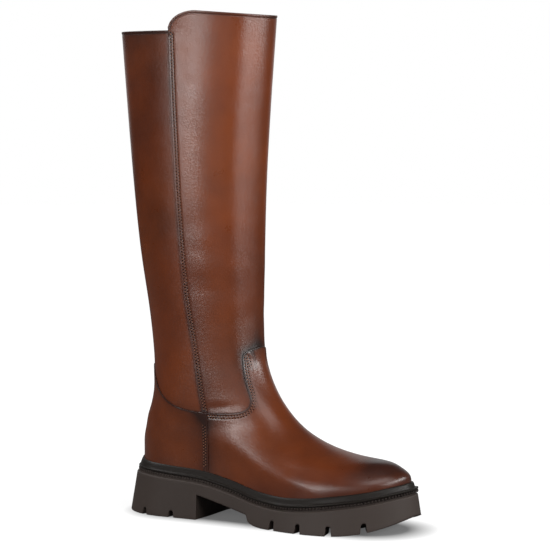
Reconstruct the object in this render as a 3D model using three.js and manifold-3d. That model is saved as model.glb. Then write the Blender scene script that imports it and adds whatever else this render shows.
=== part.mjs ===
// A knee-high pull-up boot for the right foot, women's size 38, on a chunky lugged rubber unit sole.
//
// Frame: millimetres, +Z up, +X to the toe, +Y to the inner (medial) side, the floor at z = 0.
// The last has its own coordinates: X runs from its heel point (0) to its toe point (LAST_LENGTH), and Y is
// measured from the line through the heel centre. The exported group moves them to the middle of the footprint.
//
// The pieces, from the floor up:
//   outsole  one moulding: heel block, arch, forefoot with toe spring, side notches and tread lugs
//   welt     the rubber band that hugs the upper, with the lip that overhangs the outsole
//   insole   the footbed board inside the upper
//   upper    vamp, counter and shaft as one hollow wall, open at the collar and under the foot
import * as THREE from "three";
import { mergeVertices } from "three/addons/utils/BufferGeometryUtils.js";
import Module from "manifold-3d";

const wasm = await Module();
wasm.setup();

// ---------------------------------------------------------------- driving dimensions

const LAST_LENGTH = 262;
const HEEL_POINT = [-125.3, 1.8]; // where the last's heel point stands in the part's frame
const GAP = 0.3; // clearance between neighbouring pieces

const WALL = 2.4; // leather and lining together
const LASTING_DEPTH = 2; // the upper reaches this far below the seat line
const HEEL_CAP_POWER = 2.1; // superellipse powers that round the two ends of a ring
const TOE_CAP_POWER = 2.15;

const COLLAR = { seamX: 52, backZ: 430.5, seamZ: 447.5, frontX: 130, frontZ: 441.8, cornerX: 26, cornerZ: 16 };

const BAND = { height: 5.4, heelRise: 2.2, riseLength: 25 }; // above the seat line, a little taller at the heel
const LIP = { heelReach: 4.6, toeReach: 6.4, thickness: 2 };
const TOOTH_GROOVE = { reach: 4.2, depth: 3.2 }; // set back under the lip, where the ribs stand
const SHOULDER = { reach: 6.2, drop: 1.3 };

const BREAST_X = 75; // front face of the heel block
const ARCH = { heelZ: 22.2, foreX: 129, foreZ: 10, cornerX: 131.5, cornerZ: 4.5, floorX: 150 };
const SPRING = { fromX: 208, endX: 274, rise: 15.5, power: 2.3 };

const NOTCH = { width: 6.4, taper: 0.72, length: 24 };
const NOTCHES = table(
  ["x", "height"],
  [20, 6.2], // heel
  [49, 6.2],
  [157, 8.5], // forefoot
  [184.5, 8.5],
  [213, 8.5],
  [241.5, 8.5],
);
const TREAD = { rim: 17, depth: 5, pockets: [[16, 60], [150, 240]] };
const CHEVRON = { bar: 9, sweep: 7, span: 34 };
const CHEVRON_STATIONS = [31, 52, 157, 177, 197, 217];

const INSOLE_THICKNESS = 5;

// ---------------------------------------------------------------- tables of the last

// The outline at the seat line: half widths on the outer and inner side of the heel line.
const OUTLINE = table(
  ["x", "outer", "inner"],
  [0, 31, 31], // heel
  [40, 33, 33],
  [105, 35, 29.5], // waist
  [145, 40, 33],
  [175, 45, 39.5], // ball
  [195, 45.5, 42],
  [225, 42.5, 42.5],
  [262, 37, 41], // toe, set to the inner side
);

// The seat line: height of the welt's lip above the floor.
const SEAT = table(
  ["x", "z"],
  [-14, 41.3],
  [0, 41.3], // heel
  [20, 41.2],
  [45, 39.9],
  [80, 37.6],
  [110, 31.9], // waist
  [135, 25.7],
  [160, 23.1],
  [185, 24.2], // ball
  [215, 27.9],
  [240, 31.8],
  [262, 37], // toe
  [276, 40],
);

// How far the outsole's wall stands out from the upper at the floor.
const FLARE = table(["x", "reach"], [-14, 12.5], [0, 12], [75, 8], [130, 9], [180, 10.5], [276, 11]);

// Rings round the boot from the lasting edge to above the collar. Each one runs through a back and a front point
// of the side profile. outer and inner are half widths, heelCap and toeCap the lengths over which its two ends
// round, and leg is 0 where the ring has the foot's outline and 1 where it is a plain oval of the shaft.
const RINGS = table(
  ["backX", "backZ", "frontX", "frontZ", "outer", "inner", "heelCap", "toeCap", "leg"],
  [0, 39.3, 262, 35, 38, 36, 38, 78, 0], // lasting edge
  [0.5, 51.3, 262, 47, 38, 36, 38, 74, 0],
  [0.5, 60, 254.2, 54, 38, 36, 38, 92, 0.02], // toe box
  [1, 68, 243, 59, 38, 36, 38, 120, 0.1],
  [3, 77, 217, 61.4, 38, 36, 40, 124, 0.22], // ball
  [5, 87, 187, 68.4, 37, 35, 42, 118, 0.4],
  [8.6, 97, 160, 82, 37, 35, 44, 108, 0.6], // instep
  [11.2, 108, 138.5, 102.5, 37, 36, 47, 82, 0.8],
  [12.2, 122, 124.4, 125, 37, 36, 51, 62, 0.94], // throat
  [11.4, 145, 117, 150, 37, 37, 53, 53.5, 1], // ankle
  [7, 185, 116, 190, 39, 39, 54.5, 54.5, 1],
  [-1.3, 235, 116.5, 240, 42, 42, 58, 58.5, 1],
  [-8, 295, 118, 300, 45, 45, 63, 63, 1], // calf
  [-14, 360, 122, 365, 47, 47, 68, 68, 1],
  [-22, 450, 129, 450, 48, 48, 75.5, 75.5, 1], // above the collar
);

function table(names, ...rows) {
  return Object.fromEntries(names.map((name, k) => [name, rows.map((row) => row[k])]));
}

// A smooth curve through (xs, ys): cubic pieces whose slope at each row is the mean of its two neighbours'.
function smooth(xs, ys, x) {
  const at = Math.min(Math.max(x, xs[0]), xs.at(-1));
  const i = Math.min(Math.max(xs.findIndex((v) => v >= at) - 1, 0), xs.length - 2);
  const rise = (k) => (ys[k + 1] - ys[k]) / (xs[k + 1] - xs[k]);
  const slope = (k) => {
    if (k === 0) return rise(0);
    if (k === xs.length - 1) return rise(k - 1);
    const before = xs[k] - xs[k - 1];
    const after = xs[k + 1] - xs[k];
    return (rise(k - 1) * after + rise(k) * before) / (before + after);
  };
  const h = xs[i + 1] - xs[i];
  const t = (at - xs[i]) / h;
  return (
    (2 * t ** 3 - 3 * t ** 2 + 1) * ys[i] +
    (t ** 3 - 2 * t ** 2 + t) * h * slope(i) +
    (-2 * t ** 3 + 3 * t ** 2) * ys[i + 1] +
    (t ** 3 - t ** 2) * h * slope(i + 1)
  );
}

const seat = (x) => smooth(SEAT.x, SEAT.z, x);
const outline = (side, x) => smooth(OUTLINE.x, OUTLINE[side], x);
const mix = (a, b, t) => a + (b - a) * t;

// Rounds an end: 0 at the end, 1 from a cap's length on, along a superellipse.
function roundEnd(share, power) {
  const t = Math.min(Math.max(share, 0), 1);
  return (1 - (1 - t) ** power) ** (1 / power);
}

// ---------------------------------------------------------------- the upper's surface

// A point of the upper's outside. level counts the rows of RINGS, and turn goes from 0 at the back, along the
// outer side, to 1 at the front, and back along the inner side to 2.
function upperPoint(level, turn) {
  const levels = RINGS.leg.map((_, k) => k);
  const row = (name) => smooth(levels, RINGS[name], level);
  const wrapped = ((turn % 2) + 2) % 2;
  const side = wrapped <= 1 ? -1 : 1;
  const along = (1 - Math.cos(Math.PI * wrapped)) / 2;
  const [backX, frontX] = [row("backX"), row("frontX")];
  const leg = Math.min(Math.max(row("leg"), 0), 1);
  const x = mix(backX, frontX, along);
  const seatCurve = seat(x) - mix(seat(backX), seat(frontX), along);
  const z = mix(row("backZ"), row("frontZ"), along) + (1 - leg) * seatCurve;
  const outer = mix(outline("outer", x), row("outer"), leg);
  const inner = mix(outline("inner", x), row("inner"), leg);
  const ends =
    roundEnd((x - backX) / row("heelCap"), HEEL_CAP_POWER) * roundEnd((frontX - x) / row("toeCap"), TOE_CAP_POWER);
  const y = (inner - outer) / 2 + (side * ends * (inner + outer)) / 2;
  return new THREE.Vector3(x, y, z);
}

// The outward direction there, from small steps along the ring and up the boot.
function upperNormal(level, turn) {
  const step = 1e-3;
  const along = upperPoint(level, turn + step).sub(upperPoint(level, turn - step));
  const low = Math.max(level - step, 0);
  const up = upperPoint(level + step, turn).sub(upperPoint(low, turn));
  return along.cross(up).normalize();
}

// A point at a height above the seat line, moved level outwards from the upper by a distance.
function rimPoint(height, turn, reach) {
  const level = (height + LASTING_DEPTH) / (RINGS.backZ[1] - RINGS.backZ[0]);
  const point = upperPoint(Math.max(level, 0), turn);
  const normal = upperNormal(Math.max(level, 0), turn).setZ(0).normalize();
  point.addScaledVector(normal, reach);
  return point.setZ(seat(point.x) + height);
}

// ---------------------------------------------------------------- making solids

const turns = (count) => Array.from({ length: count }, (_, k) => (2 * k) / count);

// Joins neighbouring rings with triangles. The rings have equally many points and run the same way round.
function stitch(rings, wrap) {
  const size = rings[0].length;
  const faces = [];
  const last = wrap ? rings.length : rings.length - 1;
  for (let r = 0; r < last; r++)
    for (let k = 0; k < size; k++) {
      const next = (k + 1) % size;
      const [a, b] = [r * size + k, r * size + next];
      const [c, d] = [((r + 1) % rings.length) * size + next, ((r + 1) % rings.length) * size + k];
      faces.push(a, b, c, a, c, d);
    }
  return faces;
}

// Closes a ring with strips straight across, from each point of one side to its partner on the other.
function across(first, size, flip) {
  const faces = [];
  const triangle = (a, b, c) => faces.push(...(flip ? [a, c, b] : [a, b, c]).map((k) => first + k));
  for (let k = 0; k < size / 2; k++) {
    const [a, b] = [k, k + 1];
    const [c, d] = [size - k - 1, (size - k) % size];
    if (a !== d) triangle(a, d, c);
    if (b !== c) triangle(a, c, b);
  }
  return faces;
}

function toManifold(points, faces) {
  const vertProperties = new Float32Array(points.flatMap((p) => [p.x, p.y, p.z]));
  return new wasm.Manifold(new wasm.Mesh({ numProp: 3, vertProperties, triVerts: new Uint32Array(faces) }));
}

// A hollow loop: rings that follow each other round a closed profile.
const loopSolid = (rings) => toManifold(rings.flat(), stitch(rings, true));

// A slab: rings from the bottom to the top, closed at both ends.
function slabSolid(rings) {
  const size = rings[0].length;
  const faces = [
    ...stitch(rings, false),
    ...across(0, size, false),
    ...across((rings.length - 1) * size, size, true),
  ];
  return toManifold(rings.flat(), faces);
}

// A side-view shape in (x, z), carried across the boot's whole width.
function sideCutter(shape) {
  const width = 240;
  const geometry = new THREE.ExtrudeGeometry(shape, { depth: width, bevelEnabled: false, curveSegments: 10 });
  geometry.rotateX(Math.PI / 2).translate(0, width / 2, 0);
  return fromGeometry(geometry);
}

function fromGeometry(geometry) {
  const bare = geometry.index ? geometry.toNonIndexed() : geometry.clone();
  bare.deleteAttribute("normal");
  bare.deleteAttribute("uv");
  const merged = mergeVertices(bare, 1e-4);
  const vertProperties = new Float32Array(merged.attributes.position.array);
  return new wasm.Manifold(new wasm.Mesh({ numProp: 3, vertProperties, triVerts: new Uint32Array(merged.index.array) }));
}

// ---------------------------------------------------------------- upper

// Everything above the collar line. The shaft's front is higher than its back, and each of its rear corners is
// rounded where it meets the side seam.
function aboveCollar() {
  const { seamX, backZ, seamZ, frontX, frontZ, cornerX, cornerZ } = COLLAR;
  const beyond = 60;
  const slope = (frontZ - seamZ) / (frontX - seamX);
  const shape = new THREE.Shape();
  shape.moveTo(-beyond, backZ);
  shape.lineTo(seamX, backZ);
  shape.lineTo(seamX, seamZ - cornerZ);
  shape.absellipse(seamX + cornerX, seamZ - cornerZ, cornerX, cornerZ, Math.PI, Math.PI / 2, true);
  shape.lineTo(frontX + beyond, seamZ + slope * (frontX + beyond - seamX - cornerX));
  shape.lineTo(frontX + beyond, seamZ + beyond);
  shape.lineTo(-beyond, seamZ + beyond);
  return shape;
}

function makeUpper() {
  const ringTurns = turns(52);
  const perRow = 2;
  const levels = Array.from({ length: perRow * (RINGS.leg.length - 1) + 1 }, (_, k) => k / perRow);
  const outside = levels.map((level) => ringTurns.map((turn) => upperPoint(level, turn)));
  const inside = levels.map((level, r) =>
    ringTurns.map((turn, k) => {
      const point = outside[r][k].clone().addScaledVector(upperNormal(level, turn), -WALL);
      return r === 0 ? point.setZ(outside[0][k].z) : point;
    }),
  );
  return loopSolid([...outside, ...inside.reverse()]).subtract(sideCutter(aboveCollar()));
}

// ---------------------------------------------------------------- welt and insole

function makeWelt() {
  // A corner of the profile on the band: its share of the band's height, and its distance out from the upper.
  const band = (share, reach) =>
    turns(96).map((turn) => {
      const fromHeel = upperPoint(0, turn).x / BAND.riseLength;
      const height = BAND.height + BAND.heelRise * Math.max(1 - fromHeel, 0) ** 2;
      return rimPoint(share * height, turn, reach);
    });
  // A corner on the lip: its height over the seat line, and how far it is set back from the lip's edge.
  const lip = (height, inset) =>
    turns(96).map((turn) => {
      const reach = mix(LIP.heelReach, LIP.toeReach, upperPoint(0, turn).x / LAST_LENGTH);
      return rimPoint(height, turn, reach - inset);
    });
  return loopSolid([
    turns(96).map((turn) => rimPoint(-LIP.thickness, turn, GAP)),
    lip(-LIP.thickness, 0.6),
    lip(-LIP.thickness * 0.7, 0),
    lip(-0.4, 0),
    lip(0.1, 0.7),
    band(0.08, 3.4),
    band(0.5, 2.4),
    band(0.92, 1.3),
    band(1, GAP + 0.3),
    band(1, GAP),
    band(0.4, GAP),
  ]);
}

function makeInsole() {
  const level = (height, reach) => turns(72).map((turn) => rimPoint(height, turn, -reach));
  const bottom = GAP - LASTING_DEPTH;
  const top = bottom + INSOLE_THICKNESS;
  const edge = WALL + GAP + 0.1;
  return slabSolid([level(bottom, edge), level(top - 0.8, edge), level(top, edge + 0.8)]);
}

// ---------------------------------------------------------------- outsole

// Everything under the sole in side view: the arch behind the forefoot, and the toe spring.
function underArch() {
  const shape = new THREE.Shape();
  shape.moveTo(BREAST_X, -2);
  shape.lineTo(BREAST_X, ARCH.heelZ);
  shape.lineTo(ARCH.foreX, ARCH.foreZ);
  shape.lineTo(ARCH.cornerX, ARCH.cornerZ);
  shape.quadraticCurveTo(ARCH.cornerX + 6, 0.8, ARCH.floorX, 0);
  shape.lineTo(ARCH.floorX, -2);
  return shape;
}

function springHeight(x) {
  const { fromX, endX, rise, power } = SPRING;
  return rise * Math.max((x - fromX) / (endX - fromX), 0) ** power;
}

function underSpring() {
  const steps = 8;
  const shape = new THREE.Shape();
  shape.moveTo(SPRING.fromX, -2);
  for (let k = 0; k <= steps; k++) {
    const x = mix(SPRING.fromX, SPRING.endX + 6, k / steps);
    shape.lineTo(x, springHeight(x));
  }
  shape.lineTo(SPRING.endX + 6, -2);
  return shape;
}

// A point of the outsole's outside: the foot of its wall, pulled in by a margin.
function floorPoint(turn, margin, z) {
  const reach = smooth(FLARE.x, FLARE.reach, upperPoint(0, turn).x);
  return rimPoint(-LASTING_DEPTH, turn, reach - margin).setZ(z);
}

const floorRing = (count, margin, z) => turns(count).map((turn) => floorPoint(turn, margin, z));

function soleBlock() {
  const count = 120;
  const top = -LIP.thickness - GAP;
  const level = (height, reach) => turns(count).map((turn) => rimPoint(height, turn, reach));
  return slabSolid([
    floorRing(count, 0, 0),
    level(top - TOOTH_GROOVE.depth - SHOULDER.drop, SHOULDER.reach),
    level(top - TOOTH_GROOVE.depth, TOOTH_GROOVE.reach),
    level(top, TOOTH_GROOVE.reach),
  ]);
}

// A notch with a rounded roof, cut into the wall from outside at a station on one side (-1 outer, 1 inner).
function notchAt(x, height, side) {
  const [from, to] = side < 0 ? [0.02, 0.98] : [1.98, 1.02];
  const wall = (turn) => floorPoint(turn, 0, 0);
  let [low, high] = [from, to];
  while (Math.abs(high - low) > 1e-4) {
    const middle = (low + high) / 2;
    if (wall(middle).x < x) low = middle;
    else high = middle;
  }
  const edge = wall(low);
  const tangent = wall(low + 0.005).sub(wall(low - 0.005)).normalize();
  const inwards = new THREE.Vector3(-tangent.y, tangent.x, 0);
  const up = new THREE.Vector3(0, 0, 1);

  const { width, taper, length } = NOTCH;
  const radius = (width * taper) / 2;
  const shape = new THREE.Shape();
  shape.moveTo(-width / 2, -3);
  shape.lineTo(width / 2, -3);
  shape.lineTo(radius, height - radius);
  shape.absarc(0, height - radius, radius, 0, Math.PI, false);
  const outwards = 8;
  const geometry = new THREE.ExtrudeGeometry(shape, { depth: length + outwards, bevelEnabled: false, curveSegments: 4 });
  const sideways = new THREE.Vector3().crossVectors(up, inwards);
  geometry.applyMatrix4(new THREE.Matrix4().makeBasis(sideways, up, inwards));
  const start = edge.addScaledVector(inwards, -outwards);
  return fromGeometry(geometry.translate(start.x, start.y, springHeight(x)));
}

// The sunken middle of the tread, between two stations.
function treadPocket(fromX, toX) {
  const rings = [floorRing(96, TREAD.rim, -3), floorRing(96, TREAD.rim, TREAD.depth)];
  const window = new THREE.BoxGeometry(toX - fromX, 200, 40).translate((fromX + toX) / 2, 0, 0);
  return slabSolid(rings).intersect(fromGeometry(window));
}

// A chevron lug that stands in the pocket, pointing to the toe.
function chevronAt(x) {
  const { bar, sweep, span } = CHEVRON;
  const shape = new THREE.Shape();
  const half = span / 2;
  shape.moveTo(0, -half);
  shape.lineTo(bar, -half);
  shape.lineTo(bar + sweep, 0);
  shape.lineTo(bar, half);
  shape.lineTo(0, half);
  shape.lineTo(sweep, 0);
  const geometry = new THREE.ExtrudeGeometry(shape, { depth: TREAD.depth + 1, bevelEnabled: false });
  const middle = (outline("inner", x) - outline("outer", x)) / 2;
  return fromGeometry(geometry.translate(x - bar, middle, 0));
}

function makeOutsole() {
  let tread = soleBlock();
  for (const [from, to] of TREAD.pockets) tread = tread.subtract(treadPocket(from, to));
  for (const x of CHEVRON_STATIONS) tread = tread.add(chevronAt(x));
  tread = tread.subtract(sideCutter(underArch())).subtract(sideCutter(underSpring()));
  NOTCHES.x.forEach((x, k) => {
    for (const side of [-1, 1]) tread = tread.subtract(notchAt(x, NOTCHES.height[k], side));
  });
  return tread;
}

// ---------------------------------------------------------------- the boot

function node(name, solid, material) {
  const { vertProperties, triVerts } = solid.getMesh();
  const geometry = new THREE.BufferGeometry();
  geometry.setAttribute("position", new THREE.BufferAttribute(new Float32Array(vertProperties), 3));
  geometry.setIndex(new THREE.BufferAttribute(new Uint32Array(triVerts), 1));
  geometry.computeVertexNormals();
  const mesh = new THREE.Mesh(geometry, material);
  mesh.name = name;
  return mesh;
}

const rubber = new THREE.MeshStandardMaterial({ color: 0x3a3230, roughness: 0.75, metalness: 0 });
const weltRubber = new THREE.MeshStandardMaterial({ color: 0x2e2c29, roughness: 0.45, metalness: 0 });
const board = new THREE.MeshStandardMaterial({ color: 0xb08a64, roughness: 0.8, metalness: 0 });
const leather = new THREE.MeshStandardMaterial({ color: 0x6b3420, roughness: 0.4, metalness: 0 });

const boot = new THREE.Group();
boot.add(
  node("outsole", makeOutsole(), rubber),
  node("welt", makeWelt(), weltRubber),
  node("insole", makeInsole(), board),
  node("upper", makeUpper(), leather),
);
boot.position.set(HEEL_POINT[0], HEEL_POINT[1], 0);

export default boot;
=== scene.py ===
"""A knee-high pull-up boot for the right foot, dressed around its CAD frame.

Lengths are millimetres in the last's own coordinates until a mesh is made: X runs from the heel point (0)
to the toe, +Y is the inner side and Z is the height over the floor. The leather is cut in four panels (vamp,
counter, rear shaft and front shaft), each a thin shell over the same last, stitched where one laps over the
next. Behind them stands the lining, below them the welt band, the ribs, the lugged outsole and the footbed.
"""
import math

import bmesh
import bpy
import numpy as np
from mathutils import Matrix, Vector


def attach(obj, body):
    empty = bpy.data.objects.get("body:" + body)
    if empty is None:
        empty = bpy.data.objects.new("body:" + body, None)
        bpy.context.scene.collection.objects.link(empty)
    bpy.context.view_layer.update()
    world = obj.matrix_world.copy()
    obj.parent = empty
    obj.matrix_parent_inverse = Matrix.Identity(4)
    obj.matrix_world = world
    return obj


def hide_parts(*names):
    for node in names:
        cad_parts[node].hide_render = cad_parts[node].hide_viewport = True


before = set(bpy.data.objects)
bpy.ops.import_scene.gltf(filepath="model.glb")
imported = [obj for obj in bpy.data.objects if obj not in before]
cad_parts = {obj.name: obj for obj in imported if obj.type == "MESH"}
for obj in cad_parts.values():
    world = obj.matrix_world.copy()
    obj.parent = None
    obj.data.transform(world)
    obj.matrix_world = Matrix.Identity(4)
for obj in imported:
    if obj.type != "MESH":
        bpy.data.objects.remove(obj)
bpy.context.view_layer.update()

MM = 0.001
UP = np.array([0, 0, 1.0])
HEEL_POINT = np.array([-125.3, 1.8, 0])  # where the last's heel point stands in the frame

# ---- the last


def table(names, *rows):
    """Rows of numbers as one array for each named column."""
    return dict(zip(names.split(), np.array(rows, float).T))


LAST_LENGTH = 262
LASTING_DEPTH = 2  # the upper starts this far below the seat line
RING_RISE = 12  # height between the two lowest rings

# Half widths at the seat line, on the outer and inner side of the heel line.
OUTLINE = table(
    "x outer inner",
    [0, 31, 31],  # heel
    [40, 33, 33],
    [105, 35, 29.5],  # waist
    [145, 40, 33],
    [175, 45, 39.5],  # ball
    [195, 45.5, 42],
    [225, 42.5, 42.5],
    [262, 37, 41],  # toe
)

# The seat line: height of the welt's lip above the floor.
SEAT = table(
    "x z",
    [-14, 41.3], [0, 41.3], [20, 41.2], [45, 39.9], [80, 37.6],  # heel to waist
    [110, 31.9], [135, 25.7], [160, 23.1], [185, 24.2],  # waist to ball
    [215, 27.9], [240, 31.8], [262, 37], [276, 40],  # toe
)

# How far the outsole's wall stands out from the upper at the floor.
FLARE = table("x reach", [-14, 12.5], [0, 12], [75, 8], [130, 9], [180, 10.5], [276, 11])

# Rings round the boot, a row for each level: the back and front point of the side profile, the half widths,
# the lengths over which the two ends round, and leg: 0 for the foot's outline and 1 for a plain oval.
RINGS = table(
    "backX backZ frontX frontZ outer inner heelCap toeCap leg",
    [0, 39.3, 262, 35, 38, 36, 38, 78, 0],  # lasting edge
    [0.5, 51.3, 262, 47, 38, 36, 38, 74, 0],
    [0.5, 60, 254.2, 54, 38, 36, 38, 92, 0.02],  # toe box
    [1, 68, 243, 59, 38, 36, 38, 120, 0.1],
    [3, 77, 217, 61.4, 38, 36, 40, 124, 0.22],  # ball
    [5, 87, 187, 68.4, 37, 35, 42, 118, 0.4],
    [8.6, 97, 160, 82, 37, 35, 44, 108, 0.6],  # instep
    [11.2, 108, 138.5, 102.5, 37, 36, 47, 82, 0.8],
    [12.2, 122, 124.4, 125, 37, 36, 51, 62, 0.94],  # throat
    [11.4, 145, 117, 150, 37, 37, 53, 53.5, 1],  # ankle
    [7, 185, 116, 190, 39, 39, 54.5, 54.5, 1],
    [-1.3, 235, 116.5, 240, 42, 42, 58, 58.5, 1],
    [-8, 295, 118, 300, 45, 45, 63, 63, 1],  # calf
    [-14, 360, 122, 365, 47, 47, 68, 68, 1],
    [-22, 450, 129, 450, 48, 48, 75.5, 75.5, 1],  # above the collar
)
LEVELS = np.arange(len(RINGS["leg"]))
TOP_LEVEL = LEVELS[-1]
HEEL_CAP_POWER = 2.1
TOE_CAP_POWER = 2.15


def mix(a, b, share):
    return a + (b - a) * share


def step(value, low, high):
    """0 below low, 1 above high and a smooth step between."""
    t = np.clip((value - low) / (high - low), 0, 1)
    return t * t * (3 - 2 * t)


def smooth(xs, ys, x):
    """Cubic pieces through the rows (xs, ys). The slope at a row is the mean of its two neighbours' slopes,
    each weighted with the other one's length, and at the ends the slope of the last piece."""
    length = np.diff(xs)
    rise = np.diff(ys) / length
    inner = (rise[:-1] * length[1:] + rise[1:] * length[:-1]) / (length[1:] + length[:-1])
    slope = np.concatenate([rise[:1], inner, rise[-1:]])
    at = np.clip(x, xs[0], xs[-1])
    i = np.clip(np.searchsorted(xs, at, side="right") - 1, 0, len(length) - 1)
    h = length[i]
    t = (at - xs[i]) / h
    return (
        (2 * t**3 - 3 * t**2 + 1) * ys[i]
        + (t**3 - 2 * t**2 + t) * h * slope[i]
        + (3 * t**2 - 2 * t**3) * ys[i + 1]
        + (t**3 - t**2) * h * slope[i + 1]
    )


def seat(x):
    return smooth(SEAT["x"], SEAT["z"], x)


def round_end(share, power):
    """0 at an end and 1 from a cap's length on, along a superellipse."""
    return (1 - (1 - np.clip(share, 0, 1)) ** power) ** (1 / power)


def ring_point(level, turn):
    """A point on the outside of the last. level counts the rows of RINGS; turn is 0 at the back, 1 at the
    front along the outer side and 2 at the back again. x runs from the ring's back to its front as
    (1 - cos) / 2, z is the straight line between the two plus the seat curve's share, and y is the half
    width times both round ends."""
    wrapped = np.mod(turn, 2)
    side = np.where(wrapped <= 1, -1, 1)
    along = (1 - np.cos(np.pi * wrapped)) / 2
    row = {name: smooth(LEVELS, column, level) for name, column in RINGS.items()}
    leg = np.clip(row["leg"], 0, 1)
    x = mix(row["backX"], row["frontX"], along)
    seat_curve = seat(x) - mix(seat(row["backX"]), seat(row["frontX"]), along)
    z = mix(row["backZ"], row["frontZ"], along) + (1 - leg) * seat_curve
    outer = mix(smooth(OUTLINE["x"], OUTLINE["outer"], x), row["outer"], leg)
    inner = mix(smooth(OUTLINE["x"], OUTLINE["inner"], x), row["inner"], leg)
    heel_end = round_end((x - row["backX"]) / row["heelCap"], HEEL_CAP_POWER)
    toe_end = round_end((row["frontX"] - x) / row["toeCap"], TOE_CAP_POWER)
    y = (inner - outer) / 2 + side * heel_end * toe_end * (inner + outer) / 2
    return np.stack(np.broadcast_arrays(x, y, z), -1)


def skin(level, turn):
    """The last as leather lies on it: the mean of five near levels with the weights 1 4 6 4 1, which takes
    the slight kinks out of the rows of RINGS."""
    level, turn = np.broadcast_arrays(np.asarray(level, float), np.asarray(turn, float))
    spread = np.minimum(0.22, np.minimum(level, TOP_LEVEL - level) / 2)
    steps = zip((-2, -1, 0, 1, 2), (1, 4, 6, 4, 1))
    return sum(weight * ring_point(level + k * spread, turn) for k, weight in steps) / 16


def unit(vectors):
    return vectors / np.linalg.norm(vectors, axis=-1, keepdims=True)


def slopes(level, turn):
    """How skin() moves in millimetres for one level and for one turn, from small steps both ways."""
    nudge = 2e-3
    low = np.clip(level - nudge, 0, TOP_LEVEL)
    high = np.clip(level + nudge, 0, TOP_LEVEL)
    up = (skin(high, turn) - skin(low, turn)) / (high - low)[..., None]
    along = (skin(level, turn + nudge) - skin(level, turn - nudge)) / (2 * nudge)
    return up, along


def skin_normal(level, turn):
    level, turn = np.broadcast_arrays(np.asarray(level, float), np.asarray(turn, float))
    up, along = slopes(level, turn)
    return unit(np.cross(along, up))


def sideways(level, turn, offset):
    """A line of (level, turn) moved to its left, as seen from outside, by an offset in millimetres: across
    the line in the surface's own plane, turned back into steps of level and turn by least squares."""
    up, along = slopes(level, turn)
    forwards = np.gradient(skin(level, turn), axis=0)
    left = unit(np.cross(unit(np.cross(along, up)), forwards)) * offset
    uu, aa, ua = (np.sum(p * q, -1) for p, q in ((up, up), (along, along), (up, along)))
    u, a = np.sum(up * left, -1), np.sum(along * left, -1)
    det = uu * aa - ua**2
    return level + (aa * u - ua * a) / det, turn + (uu * a - ua * u) / det


def rim_point(height, turn, reach):
    """A point at a height over the seat line, moved level outwards from the last by reach."""
    level = np.clip((height + LASTING_DEPTH) / RING_RISE, 0, None) + 0 * turn
    along = ring_point(level, turn + 1e-3) - ring_point(level, turn - 1e-3)
    outwards = unit(np.stack([along[..., 1], -along[..., 0], 0 * along[..., 0]], -1))
    point = ring_point(level, turn) + outwards * np.asarray(reach)[..., None]
    point[..., 2] = seat(point[..., 0]) + height
    return point


def run_length(points):
    """Length along a line of points, from 0 at the first one."""
    return np.concatenate([[0], np.cumsum(np.linalg.norm(np.diff(points, axis=0), axis=-1))])


def closed_turns(half):
    """Turns once round, from those of the outer side and their mirror, back to the first place."""
    return np.concatenate([half, 2 - half[-2::-1]])


# ---- seam lines

COLLAR = {"backZ": 430.5, "seamZ": 447.5, "fall": 0.075, "cornerX": 26, "cornerZ": 16}

# The rear edge of the front shaft panel, and the front edge of the counter below the crossing.
SIDE_SEAM = table(
    "z x",
    [80, 82], [97, 77.8], [159, 68.2], [195, 62.6], [240, 59.4], [283, 57.2], [329, 55.8], [376, 54],
    [431, 52.3], [455, 51.5],
)
LOWER_SEAM = table("z x", [30, 83], [92, 83], [110, 82])

# Edges of the vamp and the counter, as a level for each turn.
VAMP_EDGE = table(
    "turn level",
    [0.4, 6.2], [0.51, 6.26], [0.62, 6.46], [0.67, 6.58], [0.715, 6.75],  # side, over the crossing
    [0.76, 7.02], [0.783, 7.26], [0.793, 7.5], [0.803, 7.91], [0.815, 8.32], [0.826, 8.68],  # tongue's side
    [0.835, 8.85], [0.855, 8.94], [0.89, 8.99], [1, 9.06],  # tongue's top
)
COUNTER_EDGE = table(
    "turn level",
    [0, 8.57], [0.08, 8.54], [0.134, 8.46], [0.192, 8.04], [0.247, 7.41], [0.295, 6.89], [0.345, 6.5],
    [0.388, 6.3], [0.4345, 6.22], [0.51, 6.26], [0.6, 6.3],
)


def fold(turn):
    """The same place on the outer side: turn counted from the back, 0 to 1, on either side."""
    return 1 - np.abs(1 - np.mod(turn, 2))


def halving(low, high, short):
    """The value between low and high up to which short holds, for each place of an array."""
    for _ in range(30):
        middle = (low + high) / 2
        more = short(middle)
        low, high = np.where(more, middle, low), np.where(more, high, middle)
    return (low + high) / 2


def seam_turn(seam, level):
    """The turn at each level where the skin passes the seam's line in side view."""
    def behind(turn):
        x, _, z = np.moveaxis(skin(level, turn), -1, 0)
        return x < smooth(seam["z"], seam["x"], z)

    return halving(0 * level + 0.2, 0 * level + 0.8, behind)


def level_at(z, turn):
    """The level where the skin of the shaft reaches a height."""
    return halving(0 * z + 9.0, 0 * z + TOP_LEVEL, lambda level: skin(level, turn)[..., 2] < z)


SEAM_LEVELS = np.linspace(0, TOP_LEVEL, 281)
SIDE_TURNS = seam_turn(SIDE_SEAM, SEAM_LEVELS)
LOWER_TURNS = seam_turn(LOWER_SEAM, SEAM_LEVELS)


def side_turn(level):
    return np.interp(level, SEAM_LEVELS, SIDE_TURNS)


def lower_turn(level):
    return np.interp(level, SEAM_LEVELS, LOWER_TURNS)


def vamp_level(turn):
    return smooth(VAMP_EDGE["turn"], VAMP_EDGE["level"], fold(turn))


def counter_level(turn):
    return smooth(COUNTER_EDGE["turn"], COUNTER_EDGE["level"], fold(turn))


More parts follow.
